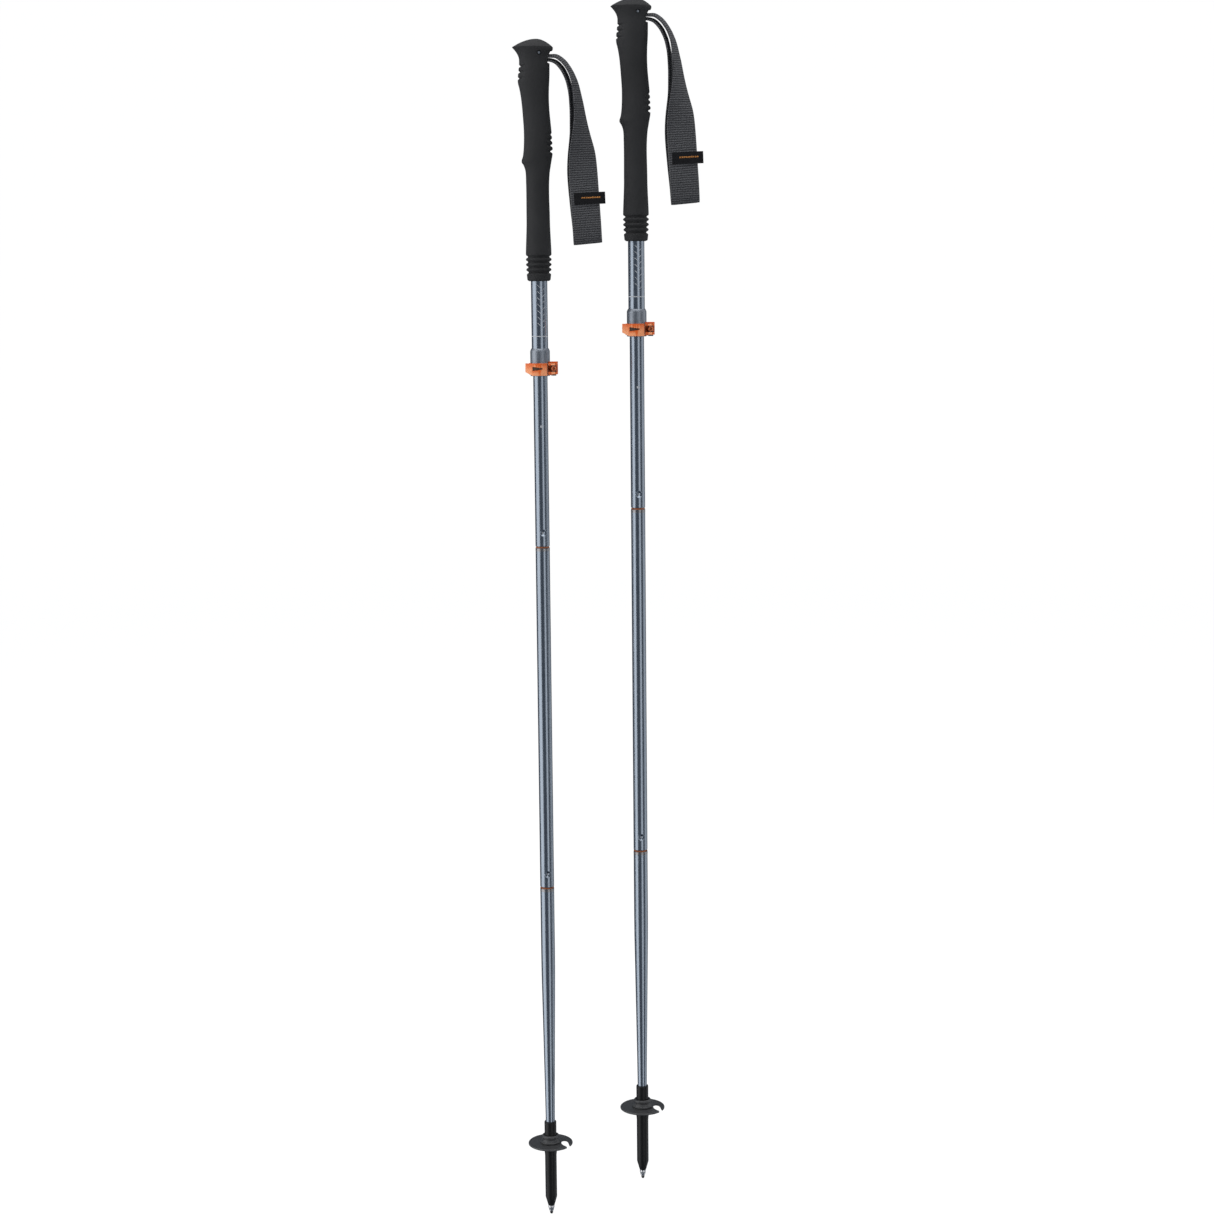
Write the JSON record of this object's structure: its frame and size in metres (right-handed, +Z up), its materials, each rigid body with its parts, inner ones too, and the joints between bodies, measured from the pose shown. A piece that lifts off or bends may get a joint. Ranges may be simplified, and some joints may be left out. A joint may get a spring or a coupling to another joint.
{
  "type": "trekking poles",
  "caption": "Folding trekking poles with foam grips, wrist straps, cam lever length clamps, folding tube joints, baskets and hard tips.",
  "frame": {"origin": "under the middle of the pair's bounding box, level with the left pole's tip", "axes": "+Z up along the poles, from tip to grip; +X from the left pole to the right pole, the side the straps hang on; -Y towards the levers"},
  "size_m": [0.1852, 0.046, 1.238],
  "materials": {
    "grip_foam": "soft matte foam",
    "core_plastic": "moulded",
    "bright_steel": "bright",
    "tube_anodised": "satin anodised, dark blue-grey",
    "collar_grey": "bead-blasted anodised",
    "white_plastic": "self-lubricating",
    "clamp_orange": "satin orange paint",
    "strap_webbing": "ribbed woven webbing",
    "label_tape": "fine woven tape with an orange stitched bar",
    "anchor_brass": "turned",
    "socket_alloy": "machined",
    "cable_sheath": "coated cord",
    "cone_orange": "moulded",
    "sleeve_plastic": "satin moulded",
    "carbide": "sintered",
    "black_steel": "black oxide",
    "basket_plastic": "fine moulded texture"
  },
  "bodies": {
    "left_upper": {"left_grip": "grip_foam", "left_grip_core": "core_plastic", "left_strap_wedge": "core_plastic", "left_strap_pin": "bright_steel", "left_upper_tube": "tube_anodised", "left_clamp_collar": "collar_grey", "left_clamp_liner": "white_plastic", "left_clamp_band": "clamp_orange", "left_clamp_barrel": "black_steel", "left_clamp_screw": "bright_steel"},
    "left_lever": {"left_clamp_lever": "clamp_orange"},
    "left_strap": {"left_wrist_strap": "strap_webbing", "left_strap_label": "label_tape"},
    "left_slide": {"left_slide_tube": "tube_anodised", "left_guide_bush": "white_plastic", "left_cable_anchor": "anchor_brass", "left_tension_spring": "bright_steel", "left_upper_socket": "socket_alloy", "left_upper_cable": "cable_sheath"},
    "left_middle": {"left_middle_tube": "tube_anodised", "left_upper_cone": "cone_orange", "left_lower_socket": "socket_alloy", "left_middle_cable": "cable_sheath"},
    "left_lower": {"left_lower_tube": "tube_anodised", "left_lower_cone": "cone_orange", "left_lower_cable": "cable_sheath", "left_tip_sleeve": "sleeve_plastic", "left_tip_ferrule": "bright_steel", "left_tip_point": "carbide"},
    "left_basket": {"left_basket": "basket_plastic"},
    "right_upper": {"right_grip": "grip_foam", "right_grip_core": "core_plastic", "right_strap_wedge": "core_plastic", "right_strap_pin": "bright_steel", "right_upper_tube": "tube_anodised", "right_clamp_collar": "collar_grey", "right_clamp_liner": "white_plastic", "right_clamp_band": "clamp_orange", "right_clamp_barrel": "black_steel", "right_clamp_screw": "bright_steel"},
    "right_lever": {"right_clamp_lever": "clamp_orange"},
    "right_strap": {"right_wrist_strap": "strap_webbing", "right_strap_label": "label_tape"},
    "right_slide": {"right_slide_tube": "tube_anodised", "right_guide_bush": "white_plastic", "right_cable_anchor": "anchor_brass", "right_tension_spring": "bright_steel", "right_upper_socket": "socket_alloy", "right_upper_cable": "cable_sheath"},
    "right_middle": {"right_middle_tube": "tube_anodised", "right_upper_cone": "cone_orange", "right_lower_socket": "socket_alloy", "right_middle_cable": "cable_sheath"},
    "right_lower": {"right_lower_tube": "tube_anodised", "right_lower_cone": "cone_orange", "right_lower_cable": "cable_sheath", "right_tip_sleeve": "sleeve_plastic", "right_tip_ferrule": "bright_steel", "right_tip_point": "carbide"},
    "right_basket": {"right_basket": "basket_plastic"}
  },
  "joints": [
    {"name": "left_lever_open", "type": "hinge", "parent": "left_upper", "child": "left_lever", "pos_m": [-0.0556, -0.01, 0.8816], "axis": [0, 0, 1], "range_deg": [0, 150]},
    {"name": "left_strap_swing", "type": "hinge", "parent": "left_upper", "child": "left_strap", "pos_m": [-0.0548, 0, 1.1817], "axis": [1, 0, 0], "range_deg": [-40, 40]},
    {"name": "left_length_slide", "type": "slide", "parent": "left_upper", "child": "left_slide", "axis": [0, 0, 1], "range_m": [-0.05, 0.15]},
    {"name": "left_upper_fold", "type": "hinge", "parent": "left_slide", "child": "left_middle", "pos_m": [-0.0692, 0.012, 0.704], "axis": [1, 0, 0], "range_deg": [0, 180]},
    {"name": "left_lower_fold", "type": "hinge", "parent": "left_middle", "child": "left_lower", "pos_m": [-0.0692, -0.012, 0.353], "axis": [-1, 0, 0], "range_deg": [0, 176]},
    {"name": "left_basket_turn", "type": "hinge", "parent": "left_lower", "child": "left_basket", "pos_m": [-0.0692, 0, 0.078], "axis": [0, 0, 1], "range_deg": [0, 90]},
    {"name": "right_pole_apart", "type": "slide", "parent": "left_upper", "child": "right_upper", "axis": [1, 0, 0], "range_m": [0, 0.3]},
    {"name": "right_lever_open", "type": "hinge", "parent": "right_upper", "child": "right_lever", "pos_m": [0.0404, -0.01, 0.9196], "axis": [0, 0, 1], "range_deg": [0, 150]},
    {"name": "right_strap_swing", "type": "hinge", "parent": "right_upper", "child": "right_strap", "pos_m": [0.0412, 0, 1.2197], "axis": [1, 0, 0], "range_deg": [-40, 40]},
    {"name": "right_length_slide", "type": "slide", "parent": "right_upper", "child": "right_slide", "axis": [0, 0, 1], "range_m": [-0.05, 0.15]},
    {"name": "right_upper_fold", "type": "hinge", "parent": "right_slide", "child": "right_middle", "pos_m": [0.0268, 0.012, 0.742], "axis": [1, 0, 0], "range_deg": [0, 180]},
    {"name": "right_lower_fold", "type": "hinge", "parent": "right_middle", "child": "right_lower", "pos_m": [0.0268, -0.012, 0.391], "axis": [-1, 0, 0], "range_deg": [0, 176]},
    {"name": "right_basket_turn", "type": "hinge", "parent": "right_lower", "child": "right_basket", "pos_m": [0.0268, 0, 0.116], "axis": [0, 0, 1], "range_deg": [0, 90]}
  ]
}
